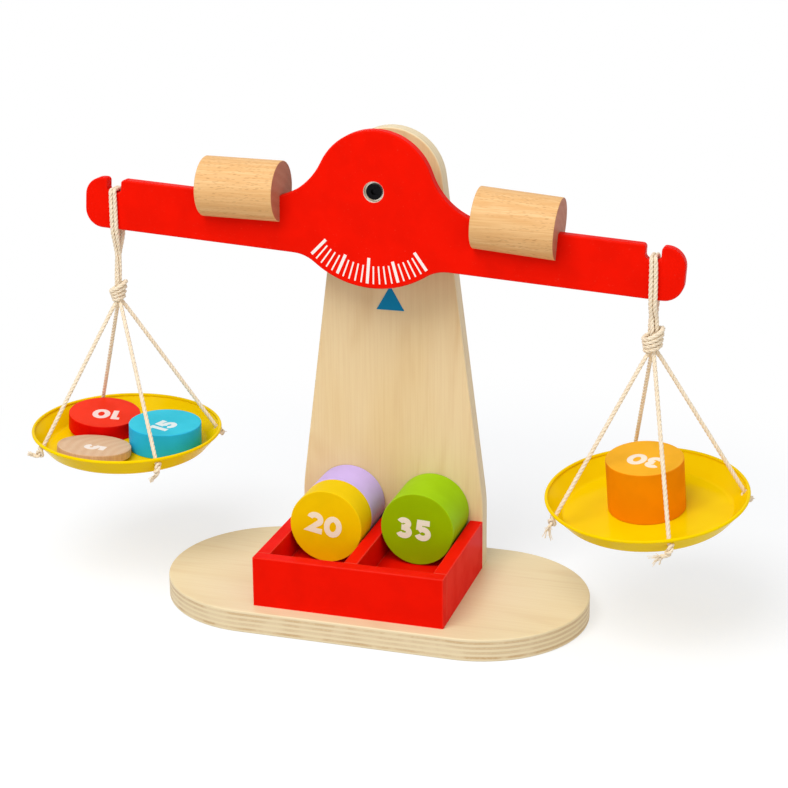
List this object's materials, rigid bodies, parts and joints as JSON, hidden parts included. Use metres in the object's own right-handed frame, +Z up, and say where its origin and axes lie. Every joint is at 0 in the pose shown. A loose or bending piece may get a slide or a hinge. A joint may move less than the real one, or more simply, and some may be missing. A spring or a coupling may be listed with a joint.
{
  "type": "toy balance scale",
  "caption": "Wooden toy balance scale: a tilting beam on a plywood upright, metal pans hung on cords, sliding adjusters, a weight tray and numbered disc weights.",
  "frame": {"origin": "middle of the base board's underside, on the table", "axes": "+X along the beam to the right, -Y towards the dial's face, +Z up"},
  "size_m": [0.3967, 0.1171, 0.2567],
  "materials": {
    "birch_ply": "clear satin lacquer on plywood, plies showing at the edge",
    "beech": "bare turned beech",
    "red_paint": "gloss paint on wood",
    "blue_print": "flat printed ink",
    "white_print": "flat printed ink",
    "black_steel": "black oxide",
    "zinc_steel": "zinc plated",
    "white_nylon": "moulded nylon",
    "yellow_enamel": "gloss enamel on pressed sheet",
    "cotton_cord": "twisted cotton cord",
    "weight_beech": "bare beech with a printed number",
    "weight_red": "satin paint with a printed number",
    "weight_blue": "satin paint with a printed number",
    "weight_yellow": "satin paint with a printed number",
    "weight_lilac": "satin paint with a printed number",
    "weight_orange": "satin paint with a printed number",
    "weight_green": "satin paint with a printed number"
  },
  "bodies": {
    "stand": {"base_board": "birch_ply", "upright_screws": "zinc_steel", "upright_dowels": "beech", "tray_screws": "zinc_steel", "upright": "birch_ply", "pointer_mark": "blue_print", "tray_front": "red_paint", "tray_left_side": "red_paint", "tray_divider": "red_paint", "tray_right_side": "red_paint", "tray_left_floor": "red_paint", "tray_right_floor": "red_paint", "pivot_bolt": "black_steel", "pivot_front_washer": "white_nylon", "pivot_sleeve": "zinc_steel", "pivot_spacer": "beech", "pivot_back_washer": "zinc_steel", "pivot_nut": "zinc_steel"},
    "beam": {"beam_board": "red_paint", "dial_marks": "white_print"},
    "left_slider": {"left_slider": "beech"},
    "left_loop": {"left_cord_loops": "cotton_cord"},
    "left_hanger": {"left_pan": "yellow_enamel", "left_cord_strands": "cotton_cord"},
    "right_slider": {"right_slider": "beech"},
    "right_loop": {"right_cord_loops": "cotton_cord"},
    "right_hanger": {"right_pan": "yellow_enamel", "right_cord_strands": "cotton_cord"},
    "weight_25_body": {"weight_25": "weight_lilac"},
    "weight_20_body": {"weight_20": "weight_yellow"},
    "weight_35_body": {"weight_35": "weight_green"},
    "weight_10_body": {"weight_10": "weight_red"},
    "weight_15_body": {"weight_15": "weight_blue"},
    "weight_5_body": {"weight_5": "weight_beech"},
    "weight_30_body": {"weight_30": "weight_orange"}
  },
  "joints": [
    {"name": "beam_tilt", "type": "hinge", "parent": "stand", "child": "beam", "pos_m": [0, 0.0056, 0.2247], "axis": [0, 1, 0], "range_deg": [-21.6, 14.4]},
    {"name": "left_slider_slide", "type": "slide", "parent": "beam", "child": "left_slider", "axis": [-0.998, 0, 0.0628], "range_m": [0, 0.04]},
    {"name": "left_loop_turn", "type": "hinge", "parent": "beam", "child": "left_loop", "pos_m": [-0.14631, 0.0056, 0.21807], "axis": [0, 1, 0], "range_deg": [-14.4, 21.6]},
    {"name": "left_pan_sway", "type": "hinge", "parent": "left_loop", "child": "left_hanger", "pos_m": [-0.14631, 0.0056, 0.16667], "axis": [1, 0, 0], "range_deg": [-8, 8]},
    {"name": "right_slider_slide", "type": "slide", "parent": "beam", "child": "right_slider", "axis": [0.998, 0, -0.0628], "range_m": [0, 0.04]},
    {"name": "right_loop_turn", "type": "hinge", "parent": "beam", "child": "right_loop", "pos_m": [0.14411, 0.0056, 0.1998], "axis": [0, 1, 0], "range_deg": [-14.4, 21.6]},
    {"name": "right_pan_sway", "type": "hinge", "parent": "right_loop", "child": "right_hanger", "pos_m": [0.14411, 0.0056, 0.1619], "axis": [1, 0, 0], "range_deg": [-8, 8]},
    {"name": "weight_25_lift", "type": "slide", "parent": "stand", "child": "weight_25_body", "axis": [0, 0, 1], "range_m": [0, 0.06]},
    {"name": "weight_20_lift", "type": "slide", "parent": "stand", "child": "weight_20_body", "axis": [0, 0, 1], "range_m": [0, 0.06]},
    {"name": "weight_35_lift", "type": "slide", "parent": "stand", "child": "weight_35_body", "axis": [0, 0, 1], "range_m": [0, 0.06]},
    {"name": "weight_10_lift", "type": "slide", "parent": "left_hanger", "child": "weight_10_body", "axis": [-0.6616, -0.4138, 0.6253], "range_m": [0, 0.078]},
    {"name": "weight_15_lift", "type": "slide", "parent": "left_hanger", "child": "weight_15_body", "axis": [0.6047, -0.4438, 0.6614], "range_m": [0, 0.081]},
    {"name": "weight_5_lift", "type": "slide", "parent": "left_hanger", "child": "weight_5_body", "axis": [0.1689, -0.5953, 0.7855], "range_m": [0, 0.088]},
    {"name": "weight_30_lift", "type": "slide", "parent": "right_hanger", "child": "weight_30_body", "axis": [0.489, 0.7303, 0.477], "range_m": [0, 0.079]}
  ],
  "couplings": [
    {"joint": "left_loop_turn", "follows": "beam_tilt", "ratio": -1},
    {"joint": "right_loop_turn", "follows": "beam_tilt", "ratio": -1}
  ]
}
